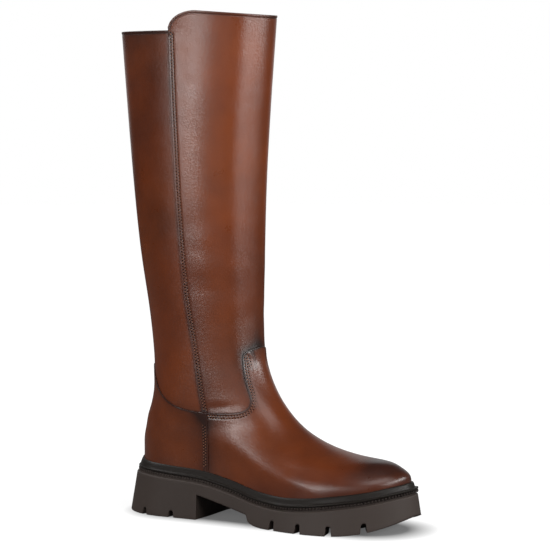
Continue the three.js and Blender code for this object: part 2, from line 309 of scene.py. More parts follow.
def front_collar_at(turn):
    """Level of the front panel's top: an elliptic corner up from the side seam, then a slow fall."""
    level = level_at(COLLAR["seamZ"] + 0 * turn, turn)
    for _ in range(4):
        point = skin(level, turn)
        from_seam = np.clip(point[..., 0] - smooth(SIDE_SEAM["z"], SIDE_SEAM["x"], point[..., 2]), 0, None)
        corner = 1 - np.clip(from_seam / COLLAR["cornerX"], 0, 1)
        drop = COLLAR["cornerZ"] * (1 - np.sqrt(1 - corner**2))
        fall = COLLAR["fall"] * np.clip(from_seam - COLLAR["cornerX"], 0, None)
        level = level_at(COLLAR["seamZ"] - drop - fall, turn)
    return level


COLLAR_SEAM_LEVEL = 13.7  # where the side seam meets the collar
COLLAR_SEAM_TURN = side_turn(COLLAR_SEAM_LEVEL)
FRONT_TURNS = mix(COLLAR_SEAM_TURN, 1, np.linspace(0, 1, 500) ** 2)
FRONT_LEVELS = front_collar_at(FRONT_TURNS)
REAR_TURNS = np.linspace(0, COLLAR_SEAM_TURN + 0.1, 200)
REAR_LEVELS = level_at(COLLAR["backZ"] + 0 * REAR_TURNS, REAR_TURNS)


def front_collar(turn):
    return np.interp(fold(turn), FRONT_TURNS, FRONT_LEVELS)


def rear_collar(turn):
    return np.interp(fold(turn), REAR_TURNS, REAR_LEVELS)


def both_sides(level, turn):
    """The points of a line on the outer side and of its mirror on the inner side."""
    return np.concatenate([skin(level, turn), skin(level, 2 - turn)])


def distance(points, line):
    """From each point of a grid to the nearest point of a line: the root of pp + ll - 2 pl, row by row."""
    flat = points.reshape(-1, points.shape[-2], 3)
    squares = np.sum(line**2, -1)
    rows = [(np.sum(row * row, -1)[:, None] + squares - 2 * row @ line.T).min(1) for row in flat]
    return np.sqrt(np.clip(rows, 0, None)).reshape(points.shape[:-1])


CROSSING_LEVEL = 6.26  # where the side seam meets the vamp, the counter and the lower seam
CROSSING_TURN = lower_turn(CROSSING_LEVEL)
SIDE_LEVELS = np.linspace(CROSSING_LEVEL, COLLAR_SEAM_LEVEL + 0.02, 700)
LOWER_LEVELS = np.linspace(0, CROSSING_LEVEL, 160)
VAMP_TURNS = np.linspace(CROSSING_TURN, 1, 900)
COUNTER_TURNS = np.linspace(0, CROSSING_TURN, 400)

# The guide of the vamp's stitches leaves its edge at the tongue's tip and turns down again in an arch.
ARCH = {"turn": 0.862, "level": 8.7, "halfWidth": 0.037, "rise": 0.24, "foot": 8.52}
ARCH_ANGLES = np.radians(np.linspace(180, 0, 60))[1:]
BEFORE_ARCH = np.linspace(CROSSING_TURN, ARCH["turn"] - ARCH["halfWidth"], 800)
GUIDE_TURNS = np.concatenate([
    BEFORE_ARCH,
    ARCH["turn"] + ARCH["halfWidth"] * np.cos(ARCH_ANGLES),
    np.full(8, ARCH["turn"] + ARCH["halfWidth"]),
])
GUIDE_LEVELS = np.concatenate([
    vamp_level(BEFORE_ARCH),
    ARCH["level"] + ARCH["rise"] * np.sin(ARCH_ANGLES),
    np.linspace(ARCH["level"], ARCH["foot"], 9)[1:],
])

LINES = {
    "side": both_sides(SIDE_LEVELS, side_turn(SIDE_LEVELS)),
    "lower": both_sides(LOWER_LEVELS, lower_turn(LOWER_LEVELS)),
    "vamp": both_sides(vamp_level(VAMP_TURNS), VAMP_TURNS),
    "guide": both_sides(GUIDE_LEVELS, GUIDE_TURNS),
    "counter": both_sides(counter_level(COUNTER_TURNS), COUNTER_TURNS),
    "front collar": both_sides(FRONT_LEVELS, FRONT_TURNS),
    "rear collar": both_sides(REAR_LEVELS, REAR_TURNS),
}


class Place:
    """Places on the skin, with their distance to each of the seam lines."""

    def __init__(self, level, turn):
        self.level, self.turn, self.fold = level, turn, fold(turn)
        self.points = skin(level, turn)
        self.gap = {name: distance(self.points, line) for name, line in LINES.items()}

    def raised(self, height):
        """The points lifted off the skin by a panel's height function, and the skin's normals."""
        normal = skin_normal(self.level, self.turn)
        return self.points + normal * height(self)[..., None], normal


# ---- how high each panel lies

LEATHER = 0.9  # thickness of a panel
WALL = 2.4  # leather and lining together
GAP = 0.05  # between two layers that lie on each other
LAP_RISE = 0.8  # how far a panel stands up where it laps over another
LAP_REACH = 9
SIDE_ROWS = (2.3, 4.5)  # distances of the two rows of stitches from the front shaft panel's rear edge
FOOT_ROWS = (1.9, 4.1)  # and from the edges of the vamp and the counter
GROOVE = {"depth": 0.2, "width": 0.5}
PRESSED = {"from": 3.7, "reach": 2.2, "depth": 0.32}  # the leather pressed down round the rows
RIM = {"width": 1.7, "height": 0.3, "groove": 0.3, "grooveAt": 2.05}  # the turned edge along the collar

# Soft troughs (depth above 0) and ridges on the shaft and foot, as seen from the outer side: the middle, the
# half length along the angle and the half width across it.
CREASES = table(
    "x z length width angle depth",
    [97, 101, 17, 3.4, 6, 0.35],  # above the vamp's edge
    [98, 108, 15, 4, 3, -0.12],
    [108, 180, 26, 9, 20, 0.35],  # ankle
    [84, 205, 22, 8, -14, 0.3],
    [88, 225, 26, 9, -6, -0.3],
    [76, 262, 22, 10, 12, 0.25],
    [83, 214, 12, 3, -8, 0.12],  # over the ankle
    [86, 204, 13, 3, 6, 0.1],
    [80, 240, 12, 4, 4, 0.08],
    [112, 382, 16, 2.4, 6, 0.08],  # near the collar
    [106, 374, 14, 2.2, -5, 0.06],
    [114, 367, 12, 2.4, 8, 0.06],
)


def soft(gap, reach):
    """1 on a line, falling off as a bell over the reach."""
    return np.exp(-((gap / reach) ** 2))


def relief(points):
    """Height of the creases: for each row a bell along its length times one across its width."""
    x, z = points[..., 0], points[..., 2]
    height = 0 * x
    for cx, cz, length, width, angle, depth in zip(*CREASES.values()):
        c, s = math.cos(math.radians(angle)), math.sin(math.radians(angle))
        along = (x - cx) * c + (z - cz) * s
        across = (z - cz) * c - (x - cx) * s
        height = height - depth * soft(along, length) * soft(across, width)
    return height


def on_rows(gap, rows, reach):
    """1 on the rows of stitches, at their distances from an edge, and 0 away from them."""
    return sum(soft(gap - row, reach) for row in rows)


def sewn(gap, rows, pressed):
    """How deep the stitches pull the leather down along an edge: a groove for each row, and a broad hollow
    round them, of which pressed is the share."""
    grooves = GROOVE["depth"] * on_rows(gap, rows, GROOVE["width"])
    return grooves + pressed * PRESSED["depth"] * soft(gap - PRESSED["from"], PRESSED["reach"])


def turned_rim(gap):
    """Height of the turned edge along the collar: a low round rim with a groove under it."""
    rim = RIM["height"] * step(-gap, -RIM["width"] - 0.1, 0.3 - RIM["width"])
    return rim - RIM["groove"] * soft(gap - RIM["grooveAt"], 0.35)


def lapped(gap):
    """How far a panel rises along an edge where it laps over another."""
    return LAP_RISE * soft(gap, LAP_REACH)


def tucked(gap):
    """How deep a panel lies under the one that laps over it, at a distance in from that one's edge."""
    return LEATHER + GAP - LAP_RISE * soft(gap, LAP_REACH)


def front_height(place):
    gap = place.gap
    height = relief(place.points) + lapped(gap["side"]) - sewn(gap["side"], SIDE_ROWS, 1)
    under_vamp = np.where(place.level < vamp_level(place.turn), tucked(gap["vamp"]), 0)
    return height + turned_rim(gap["front collar"]) - under_vamp


def rear_height(place):
    gap = place.gap
    under_front = np.where(place.fold > side_turn(place.level), tucked(gap["side"]), 0)
    under_counter = np.where(place.level < counter_level(place.turn), tucked(gap["counter"]), 0)
    return relief(place.points) + turned_rim(gap["rear collar"]) - under_front - under_counter


def vamp_height(place):
    gap = place.gap
    height = relief(place.points) + lapped(gap["vamp"]) + lapped(gap["side"])
    under_counter = np.where(place.fold < lower_turn(place.level), tucked(gap["lower"]), 0)
    return height - sewn(gap["guide"], FOOT_ROWS, 0.4) - under_counter


def counter_height(place):
    gap = place.gap
    own_edge = np.minimum(gap["counter"], gap["lower"])
    height = lapped(own_edge) + lapped(gap["side"]) + lapped(gap["vamp"])
    return height - sewn(gap["lower"], FOOT_ROWS, 0)


# ---- meshes


def grid_faces(rows, columns):
    """Quads of a grid, facing to the cross product of the ways along a row and up the rows."""
    a = np.arange(rows - 1)[:, None] * columns + np.arange(columns - 1)
    return np.stack([a, a + 1, a + columns + 1, a + columns], -1).reshape(-1, 4)


def shape(name, grids, material, values=None, sharp=None):
    """An object from grids of points, or stacks of grids, in the last's millimetres. Points that meet are
    merged, so grids that share their borders close. values holds attributes of the points, and sharp is the
    angle in degrees from which an edge stays an edge."""
    faces, count = [], 0
    for grid in grids:
        rows, columns = grid.shape[-3:-1]
        copies = grid.size // (3 * rows * columns)
        first = count + rows * columns * np.arange(copies)
        faces.append((grid_faces(rows, columns) + first[:, None, None]).reshape(-1, 4))
        count += rows * columns * copies
    points = np.concatenate([grid.reshape(-1, 3) for grid in grids])
    faces = np.concatenate(faces)
    mesh = bpy.data.meshes.new(name)
    mesh.vertices.add(len(points))
    mesh.vertices.foreach_set("co", ((points + HEEL_POINT) * MM).astype(np.float32).ravel())
    mesh.loops.add(faces.size)
    mesh.loops.foreach_set("vertex_index", faces.astype(np.int32).ravel())
    mesh.polygons.add(len(faces))
    mesh.polygons.foreach_set("loop_start", np.arange(0, faces.size, 4, dtype=np.int32))
    for key, value in (values or {}).items():
        layer = mesh.attributes.new(key, "FLOAT", "POINT")
        layer.data.foreach_set("value", np.concatenate([v.ravel() for v in value]).astype(np.float32))
    mesh.update(calc_edges=True)
    welded = bmesh.new()
    welded.from_mesh(mesh)
    bmesh.ops.remove_doubles(welded, verts=welded.verts, dist=2e-6)
    welded.to_mesh(mesh)
    welded.free()
    mesh.polygons.foreach_set("use_smooth", np.ones(len(mesh.polygons), bool))
    if sharp:
        mesh.set_sharp_from_angle(angle=math.radians(sharp))
    mesh.materials.append(material)
    made = bpy.data.objects.new(name, mesh)
    bpy.context.scene.collection.objects.link(made)
    return made


def make(name, grids, material, slot, replaces=(), **details):
    """One piece of the boot: a shape that rides with it and may stand for CAD nodes. slot is not used."""
    piece = shape(name, grids, material, **details)
    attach(piece, "root")
    if replaces:
        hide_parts(*replaces)


def border(grid):
    """The border of a grid, once round, anticlockwise from outside, back to its first point."""
    return np.concatenate([grid[0, :-1], grid[:-1, -1], grid[-1, :0:-1], grid[:0:-1, 0], grid[:1, 0]])


def shell(outside, normals, thickness):
    """A closed sheet: the outside, the same grid set in by the thickness and turned over, and a half round
    edge that joins the two."""
    edge, normal = border(outside), border(normals)
    ends = edge[:-1]
    along = np.roll(ends, -1, 0) - np.roll(ends, 1, 0)
    outwards = unit(np.cross(along, normal[:-1]))
    outwards = np.concatenate([outwards, outwards[:1]])
    radius = thickness / 2
    angles = np.radians([180, 150, 120, 90, 60, 30, 0])[:, None, None]
    rim = edge + radius * (np.sin(angles) * outwards + (np.cos(angles) - 1) * normal)
    return [outside, (outside - thickness * normals)[:, ::-1], rim]


# Steps in from an edge, close together over the turned edge and the stitch rows.
EDGE_STEPS = np.array([
    0, 0.05, 0.2, 0.45, 0.8, 1.1, 1.4, 1.6, 1.8, 2, 2.2, 2.4, 2.7, 3.1, 3.5, 3.8, 4.05, 4.3, 4.55, 4.9,
    5.4, 6.2, 7.4, 9, 11, 13.5,
])
PLAIN_END = np.array([0.0, 2.0])


def spread(length, coarse, start=EDGE_STEPS, end=EDGE_STEPS):
    """Shares of a length: the start steps, even coarse steps, and the end steps backwards."""
    middle = np.linspace(start[-1], length - end[-1], max(2, round((length - start[-1] - end[-1]) / coarse)))
    return np.concatenate([start[:-1], middle, length - end[-2::-1]]) / length


def panel_grid(columns, rows, left, right, low, top):
    """Level and turn over a panel between two side edges, given by turn, and two others, given by level.
    Each edge depends on the other pair, so the two are worked out in turn a few times."""
    rows = rows[:, None]
    level = mix(low(1 + 0 * columns), top(1 + 0 * columns), rows)
    for _ in range(6):
        turn = mix(left(level), right(level), columns)
        level = mix(low(turn), top(turn), rows)
    return level, turn


# ---- materials


class Nodes:
    """A node tree. node() adds one node; an input is a number, a colour or another node's output."""

    def __init__(self, tree):
        self.tree = tree

    def node(self, kind, inputs=None, **settings):
        made = self.tree.nodes.new("ShaderNode" + kind)
        for key, value in settings.items():
            setattr(made, key, value)
        for key, value in (inputs or {}).items():
            self.feed(made.inputs[key], value)
        return made

    def feed(self, socket, value):
        if isinstance(value, bpy.types.NodeSocket):
            self.tree.links.new(value, socket)
        else:
            socket.default_value = value

    def math(self, operation, a, b=0.0, clamp=False):
        return self.node("Math", {0: a, 1: b}, operation=operation, use_clamp=clamp).outputs[0]

    def remap(self, value, low, high, to_low, to_high):
        inputs = {"Value": value, "From Min": low, "From Max": high, "To Min": to_low, "To Max": to_high}
        return self.node("MapRange", inputs).outputs["Result"]


class Finish(Nodes):
    """A material. place is a point's own coordinates on the piece."""

    def __init__(self, name):
        self.material = bpy.data.materials.new(name)
        self.material.use_nodes = True
        super().__init__(self.material.node_tree)
        self.surface = self.tree.nodes["Principled BSDF"]
        self.place = self.node("TexCoord").outputs["Object"]

    def set(self, **inputs):
        for key, value in inputs.items():
            self.feed(self.surface.inputs[key.replace("_", " ")], value)

    def noise(self, scale, detail, roughness):
        inputs = {"Vector": self.place, "Scale": scale, "Detail": detail, "Roughness": roughness}
        return self.node("TexNoise", inputs).outputs["Fac"]

    def ramp(self, value, *stops):
        made = self.node("ValToRGB", {"Fac": value})
        elements = made.color_ramp.elements
        while len(elements) < len(stops):
            elements.new(0.5)
        for element, (position, colour) in zip(elements, stops):
            element.position = position
            element.color = colour
        return made.outputs["Color"]

    def blend(self, share, a, b, kind="MIX"):
        made = self.node("Mix", {"Factor": share}, data_type="RGBA", blend_type=kind)
        self.feed(made.inputs[6], a)
        self.feed(made.inputs[7], b)
        return made.outputs[2]

    def bump(self, height, distance, strength, under=None):
        made = self.node("Bump", {"Height": height, "Distance": distance, "Strength": strength})
        if under is not None:
            self.feed(made.inputs["Normal"], under)
        return made.outputs["Normal"]


def srgb(*levels):
    """A colour given as 0 to 255, made linear."""
    shares = np.array(levels) / 255
    linear = np.where(shares <= 0.04045, shares / 12.92, ((shares + 0.055) / 1.055) ** 2.4)
    return (*linear.tolist(), 1)


def burnished_and_shaded_leather():
    """Brushed-off calf: lively brown that darkens with the attribute of burnish and painted shade, and
    in soft clouds, with a fine grain, faint wrinkles and slow waves in the bump, and patches that shine
    more than others."""
    finish = Finish("burnished_and_shaded_leather")
    clouds = finish.remap(finish.noise(16, 3, 0.55), 0.3, 0.7, -0.2, 0.2)
    streaks = finish.remap(finish.noise(55, 4, 0.6), 0.3, 0.7, -0.05, 0.05)
    brushed = finish.node("Attribute", attribute_name="burnish_and_shade").outputs["Fac"]
    brown = finish.ramp(
        finish.math("ADD", finish.math("ADD", brushed, clouds), streaks, clamp=True),
        (0.0, srgb(110, 52, 20)),
        (0.25, srgb(95, 44, 17)),
        (0.5, srgb(81, 37, 15)),
        (0.75, srgb(63, 29, 14)),
        (1.0, srgb(30, 17, 13)),
    )
    warm = finish.remap(finish.noise(9, 2, 0.5), 0.35, 0.65, 0.0, 0.25)
    normal = finish.bump(finish.noise(1100, 3, 0.6), 0.0001, 0.35)
    normal = finish.bump(finish.noise(420, 5, 0.6), 0.0004, 0.3, normal)
    normal = finish.bump(finish.noise(38, 2, 0.4), 0.0006, 0.08, normal)
    patches = finish.remap(finish.noise(48, 4, 0.6), 0.3, 0.7, 0.27, 0.35)
    finish.set(Base_Color=finish.blend(warm, brown, srgb(86, 32, 11)), Roughness=patches, Normal=normal)
    finish.set(Specular_IOR_Level=0.36)
    return finish.material


def thread(name, colour):
    """Waxed polyester thread, its twist shown as fine bands."""
    finish = Finish(name)
    twist = finish.noise(2600, 2, 0.5)
    shade = (*(0.6 * c for c in colour[:3]), 1)
    finish.set(Base_Color=finish.blend(twist, colour, shade), Normal=finish.bump(twist, 0.0001, 0.4))
    finish.set(Roughness=0.85, Specular_IOR_Level=0.05)
    return finish.material


def plain_leather(name):
    """Undyed lining leather: pale tan in soft clouds, with fine pores."""
    finish = Finish(name)
    clouds = finish.noise(30, 3, 0.5)
    tan = finish.ramp(clouds, (0.3, srgb(172, 138, 104)), (0.7, srgb(188, 156, 122)))
    finish.set(Base_Color=tan, Roughness=0.62, Normal=finish.bump(finish.noise(900, 4, 0.6), 0.0001, 0.4))
    return finish.material


def rubber(name, colour, roughness, shine, mottle):
    """Moulded rubber: matt, with a fine grain and slight clouds of bloom."""
    finish = Finish(name)
    grain = finish.noise(1300, 3, 0.6)
    shade = finish.remap(finish.noise(40, 4, 0.6), 0.3, 0.7, 1 - mottle, 1 + mottle)
    grey = finish.node("CombineColor", {0: shade, 1: shade, 2: shade}).outputs[0]
    rough = finish.remap(grain, 0.3, 0.7, roughness - 0.05, roughness + 0.06)
    finish.set(Base_Color=finish.blend(1.0, colour, grey, "MULTIPLY"), Roughness=rough)
    finish.set(Specular_IOR_Level=shine, Normal=finish.bump(grain, 0.00008, 0.35))
    return finish.material


LEATHER_FINISH = burnished_and_shaded_leather()
THREAD_FINISH = thread("tan_thread", srgb(136, 92, 72))
# The needle holes are near-black beads: painted shade in the holes between the stitches.
HOLE_SHADE_FINISH = thread("needle_hole_shade", srgb(14, 7, 5))
LINING_FINISH = plain_leather("lining_leather")
OUTSOLE_FINISH = rubber("outsole_rubber", srgb(50, 42, 38), 0.6, 0.2, 0.06)
WELT_FINISH = rubber("welt_rubber", srgb(23, 19, 16), 0.42, 0.13, 0.05)
RIB_FINISH = rubber("rib_rubber", srgb(38, 31, 28), 0.6, 0.15, 0.05)
FOOTBED_FINISH = plain_leather("footbed_leather")

# ---- the panels

# The dark line along a row of stitches is partly burnish and partly painted shade of the row's groove.
ROW_BURNISH_AND_SHADE = 0.8  # reach of the dark line along a row of stitches


def front_burnish_and_shade(place, calf):
    """The front shaft panel. calf is 0 at the ankle and 1 at the calf."""
    z, side = place.points[..., 2], place.gap["side"]
    dark = 0.06 + 0.2 * step(-z, -330, -170)  # ankle
    dark = dark + 0.2 * step(place.fold, 0.62, 0.9) * (1 - calf)  # before it
    dark = dark + (0.12 + 0.18 * calf) * step(place.fold, 0.86, 1)  # shin
    dark = dark + mix(0.42, 0.5, calf) * np.exp(-side / mix(14, 5, calf))
    dark = dark + mix(0.05, 0.2, calf) * soft(side, 7)
    # Dark lines along the stitch rows: partly burnish, partly painted shade of their grooves.
    return dark + mix(0.22, 0.42, calf) * on_rows(side, SIDE_ROWS, ROW_BURNISH_AND_SHADE)


def rear_burnish_and_shade(place):
    """The rear shaft panel: dark at the calf, lighter at the ankle and beside the seam, with a narrow dark
    line at the seam that is a painted shadow of the front panel's lapped edge.
    """
    z, side = place.points[..., 2], place.gap["side"]
    dark = 0.58 - 0.08 * step(z, 380, 440) - 0.24 * step(-z, -310, -220)
    # The last term is a painted shadow: a narrow dark line beside the front panel's lapped edge.
    return dark - 0.12 * soft(side, 8) + 0.4 * soft(side, 1.1)


def foot_burnish_and_shade(place):
    """The vamp and the counter: dark along seams, welt and toe, with a light patch on the vamp."""
    x, z = place.points[..., 0], place.points[..., 2]
    side, lower, guide = (place.gap[name] for name in ("side", "lower", "guide"))
    over_seat = z - seat(x)
    dark = 0.43 + 0.1 * step(x, 120, 180) + 0.14 * step(x, 180, 225)
    dark = dark + 0.42 * step(x, 210, 250) * step(over_seat, 6, 24)  # toe cap
    dark = dark - 0.2 * soft(np.hypot(x - 172, (z - 48) * 1.6), 30)  # light patch
    dark = dark + 0.12 * soft(np.clip(over_seat - 5, 0, None), 8)  # welt
    dark = dark + 0.3 * np.exp(-lower / 7) + 0.2 * soft(lower, 13) + 0.2 * soft(side, 12)
    edge = np.where(place.fold < lower_turn(place.level), lower, guide)
    # Dark lines along the stitch rows: partly burnish, partly painted shade of their grooves.
    return dark + 0.3 * on_rows(edge, FOOT_ROWS, ROW_BURNISH_AND_SHADE)


def burnish_and_shade(place):
    """How dark the leather is, 0 to 1: burnish in the panel's own shades and more along edges and collar,
    with painted shade in the rim's groove, along the stitch rows and beside the side seam.
    """
    z, gap = place.points[..., 2], place.gap
    foot_top = np.where(place.fold > 0.5, vamp_level(place.turn), counter_level(place.turn))
    in_shaft = place.level > foot_top
    in_front = in_shaft & (place.fold > side_turn(place.level))
    collar = np.where(in_front, gap["front collar"], gap["rear collar"])
    edge = np.minimum(gap["vamp"], gap["counter"])
    shaft = np.where(in_front, front_burnish_and_shade(place, step(z, 200, 350)), rear_burnish_and_shade(place))
    dark = np.where(in_shaft, shaft, foot_burnish_and_shade(place))
    # A dark line of painted shade in the groove under the turned rim, and the rim itself darker.
    dark = dark + 0.5 * soft(collar - RIM["grooveAt"], 0.6) + 0.3 * step(-collar, -1.9, -1.3)
    dark = dark + 0.32 * np.exp(-collar / 9)
    dark = dark + 0.3 * np.exp(-edge / 6) + 0.45 * soft(edge, 0.8)
    throat = 0.25 * soft(z - 158, 20) * soft(place.fold - 1, 0.2) * in_front
    return np.clip(dark + throat, 0, 1)


def leather_panel(name, level, turn, height):
    place = Place(level, turn)
    grids = shell(*place.raised(height), LEATHER)
    shade = burnish_and_shade(place)
    rim = np.tile(border(shade), (len(grids[2]), 1))
    values = {"burnish_and_shade": [shade, shade[:, ::-1], rim]}
    make(name, grids, LEATHER_FINISH, "upper_leather", ["upper"], values=values)


def lasting_edge(turn):
    return 0 * turn


# How far a panel runs on under its neighbours: sideways as a turn, and down behind the foot as a level.
REAR_TUCK = {"turn": 0.05, "level": 0.35}
FRONT_TUCK = {"turn": 0.035, "level": 0.3}
VAMP_TUCK = 0.035


def make_front_panel():
    grid = panel_grid(
        spread(220, 2.2),
        spread(340, 2.2, PLAIN_END),
        side_turn,
        lambda level: 2 - side_turn(level),
        lambda turn: vamp_level(np.clip(fold(turn) - FRONT_TUCK["turn"], 0.4, 1)) - FRONT_TUCK["level"],
        front_collar,
    )
    leather_panel("front_shaft_panel", *grid, front_height)


def make_rear_panel():
    grid = panel_grid(
        spread(220, 2.2, PLAIN_END, PLAIN_END),
        spread(330, 2.2, PLAIN_END),
        lambda level: -side_turn(level) - REAR_TUCK["turn"],
        lambda level: side_turn(level) + REAR_TUCK["turn"],
        lambda turn: counter_level(turn) - REAR_TUCK["level"],
        rear_collar,
    )
    leather_panel("rear_shaft_panel", *grid, rear_height)


def make_vamp():
    """The columns are 2.2 times as close beside the tongue, where its edge turns up."""
    even = np.linspace(0, 1, 4000)
    beside_tongue = np.abs(fold(mix(0.4, 1.6, even)) - 0.8) < 0.06
    density = np.cumsum(np.where(beside_tongue, 2.2, 1))
    grid = panel_grid(
        np.interp(np.linspace(density[0], density[-1], 190), density, even),
        spread(110, 1.6, PLAIN_END),
        lambda level: lower_turn(level) - VAMP_TUCK,
        lambda level: 2 - lower_turn(level) + VAMP_TUCK,
        lasting_edge,
        vamp_level,
    )
    leather_panel("vamp", *grid, vamp_height)


def make_counter():
    grid = panel_grid(
        spread(200, 2.2),
        spread(80, 2, PLAIN_END),
        lambda level: -lower_turn(level),
        lower_turn,
        lasting_edge,
        counter_level,
    )
    leather_panel("counter", *grid, counter_height)


# ---- lining and footbed


LINING_DROP = 0.012  # how far the lining's edge stays below the collar, as a level


def make_lining():
    """A closed tube behind the panels: up its outside, over a round top edge and down its inside. Its
    columns are closest beside the side seam, where the collar steps up."""
    half = np.concatenate([np.linspace(0, 0.44, 34), np.linspace(0.45, 0.5, 26), np.linspace(0.51, 1, 40)])
    turn = closed_turns(half)
    behind_front = fold(turn) > COLLAR_SEAM_TURN
    top = np.where(behind_front, front_collar(turn), rear_collar(turn)) - LINING_DROP
    rows = np.linspace(0, 1, 120)[:, None]
    level, turn = top * rows, turn + 0 * rows
    normal = skin_normal(level, turn)
    base = skin(level, turn) + normal * relief(skin(level, turn))[..., None]
    outer, inner = LEATHER + 2 * GAP, WALL
    middle, radius = (outer + inner) / 2, (inner - outer) / 2
    angles = np.radians([30, 60, 90, 120, 150])[:, None, None]
    lip = base[-1] - normal[-1] * (middle - radius * np.cos(angles)) + UP * radius * np.sin(angles)
    rings = [base - normal * outer, lip, (base - normal * inner)[::-1], (base - normal * outer)[:1]]
    make("lining", [np.concatenate(rings)], LINING_FINISH, "lining_leather")


def across(ring, steps):
    """Straight strips over a closed ring, from each point of the outer side to its partner on the inner
    side. They face down."""
    half = len(ring) // 2
    outer, inner = ring[: half + 1], ring[: half - 1 : -1]
    return mix(outer[:, None], inner[:, None], np.linspace(0, 1, steps)[None, :, None])


INSOLE = {"thickness": 5, "bottom": 0.3 - LASTING_DEPTH, "dish": 1.4, "edge": WALL + 0.4}


def make_footbed():
    """The insole board with its sock: a slab inside the upper, dished by a square law across its top."""
    turn = closed_turns(np.linspace(0, 1, 121))
    bottom = INSOLE["bottom"]
    top = bottom + INSOLE["thickness"]
    levels = [(bottom, 0), (top - 1, 0), (top - 0.45, 0.12), (top - 0.12, 0.45), (top, 1)]
    wall = np.stack([rim_point(height, turn, -INSOLE["edge"] - inset) for height, inset in levels])
    cover = across(wall[-1], 25)[:, ::-1]
    share = np.linspace(-1, 1, 25)
    ends = np.sin(np.linspace(0, np.pi, len(cover)))[:, None] ** 0.5
    cover[..., 2] -= INSOLE["dish"] * (1 - share**2) * ends
    make("footbed", [across(wall[0], 25), wall, cover], FOOTBED_FINISH, "footbed", ["insole"])


# ---- stitching

STITCH = {"pitch": 2.62, "length": 1.5, "width": 0.62, "height": 0.5, "lift": 0.06}
HOLE = {"length": 1.35, "width": 1.05, "height": 0.48, "lift": 0}


def bead(size, along=6, fullness=0.6):
    """A closed bead about its middle: cos(p) long, sin(p)^fullness wide and high, p from end to end."""
    p = np.linspace(0, np.pi, along + 1)[:, None]
    q = np.linspace(0, 2 * np.pi, 9)[None, :]
    girth = np.sin(p).clip(0) ** fullness
    length, width, height = -np.cos(p) + 0 * q, girth * np.cos(q), girth * np.sin(q)
    return np.stack([length * size["length"], width * size["width"], height * size["height"]], -1) / 2


def stamp(grid, middle, forwards, upwards):
    """Copies of a grid, given in forward, left and up, at each middle and turned with its directions."""
    forwards = unit(forwards)
    left = unit(np.cross(upwards, forwards))
    ways = (forwards, left, np.cross(forwards, left))
    return middle[:, None, None] + sum(grid[..., k, None] * way[:, None, None] for k, way in enumerate(ways))


def evenly(level, turn, pitch):
    """The same line again in even steps of about a pitch in millimetres, measured along the skin."""
    length = run_length(skin(level, turn))
    at = np.linspace(0, length[-1], max(2, round(length[-1] / pitch) + 1))
    return np.interp(at, length, level), np.interp(at, length, turn)


def stitch_row(level, turn, height, stitches, holes, start):
    """Adds a row along a line of level and turn, on a panel of that height, to the stitches and the holes:
    beads of thread half sunk in the groove, and between them dark beads of painted shade for the needle
    holes, the first one `start` half pitches along. The row comes again on the inner side."""
    for side in (turn, 2 - turn):
        line_level, line_turn = evenly(level, side, STITCH["pitch"] / 2)
        points, normal = (found[0] for found in Place(line_level[None], line_turn[None]).raised(height))
        forwards = np.gradient(points, axis=0)
        for size, along, first, found in ((STITCH, 6, 1 - start, stitches), (HOLE, 4, start, holes)):
            middle = points[first::2] + size["lift"] * normal[first::2]
            found.append(stamp(bead(size, along), middle, forwards[first::2], normal[first::2]))


LOWER_ROW_LEVELS = (1.05, 5.3)  # where the rows beside the lower seam start and end


def make_stitching():
    stitches, holes = [], []
    side = np.linspace(CROSSING_LEVEL + 0.1, FRONT_LEVELS[0] - 0.06, 400)
    lower = np.linspace(*LOWER_ROW_LEVELS, 80)
    seams = (
        (side, side_turn(side), SIDE_ROWS, -1, front_height),
        (GUIDE_LEVELS, GUIDE_TURNS, FOOT_ROWS, -1, vamp_height),
        (lower, lower_turn(lower), FOOT_ROWS, 1, counter_height),
    )
    for level, turn, rows, way, height in seams:
        for k, row in enumerate(rows):
            stitch_row(*sideways(*evenly(level, turn, 0.8), way * row), height, stitches, holes, k)
    make("stitches", stitches, THREAD_FINISH, "thread")
    make("needle_hole_shade", holes, HOLE_SHADE_FINISH, "thread")


# ---- welt band and ribs

BAND = {"height": 5.4, "heelRise": 2.2, "riseLength": 25}
LIP = {"heelReach": 4.6, "toeReach": 6.4, "thickness": 2}

# The lip's section, as a height over the seat line and a distance in from the lip's edge, and the band's, as
# a share of its height and a distance out from the last.
LIP_SECTION = table(
    "height inset",
    [-2, 0.9], [-1.93, 0.4], [-1.65, 0.1], [-1.25, 0], [-0.6, 0], [-0.2, 0.14], [0.02, 0.5], [0.1, 1.1],
)
BAND_SECTION = table(
    "share reach",
    [0.05, 3.6], [0.12, 3.35], [0.3, 2.95], [0.5, 2.5], [0.7, 2], [0.84, 1.6], [0.93, 1.25], [0.98, 0.9],
    [1, 0.5], [0.97, 0.3], [0.4, 0.3],
)


def lip_reach(turn):
    """How far the lip's edge stands out from the last."""
    return mix(LIP["heelReach"], LIP["toeReach"], ring_point(0, turn)[..., 0] / LAST_LENGTH)


def make_welt():
    """One loop of rubber: the section carried round the seat line."""
    turn = closed_turns(np.linspace(0, 1, 241))
    at_heel = np.clip(1 - ring_point(0, turn)[..., 0] / BAND["riseLength"], 0, None)
    band = BAND["height"] + BAND["heelRise"] * at_heel**2
    edge = lip_reach(turn)
    rings = [rim_point(-LIP["thickness"], turn, 0.3)]
    rings += [rim_point(height, turn, edge - inset) for height, inset in zip(*LIP_SECTION.values())]
    rings += [rim_point(share * band, turn, reach) for share, reach in zip(*BAND_SECTION.values())]
    make("welt_band", [np.stack([*rings, rings[0]])], WELT_FINISH, "welt_rubber", ["welt"], sharp=50)


# The ribs stand upright, so a rib's length is its height.
RIB = {"pitch": 3.0, "length": 2.2, "width": 1.6, "height": 2.2, "middle": -3.3, "inset": 0.9}


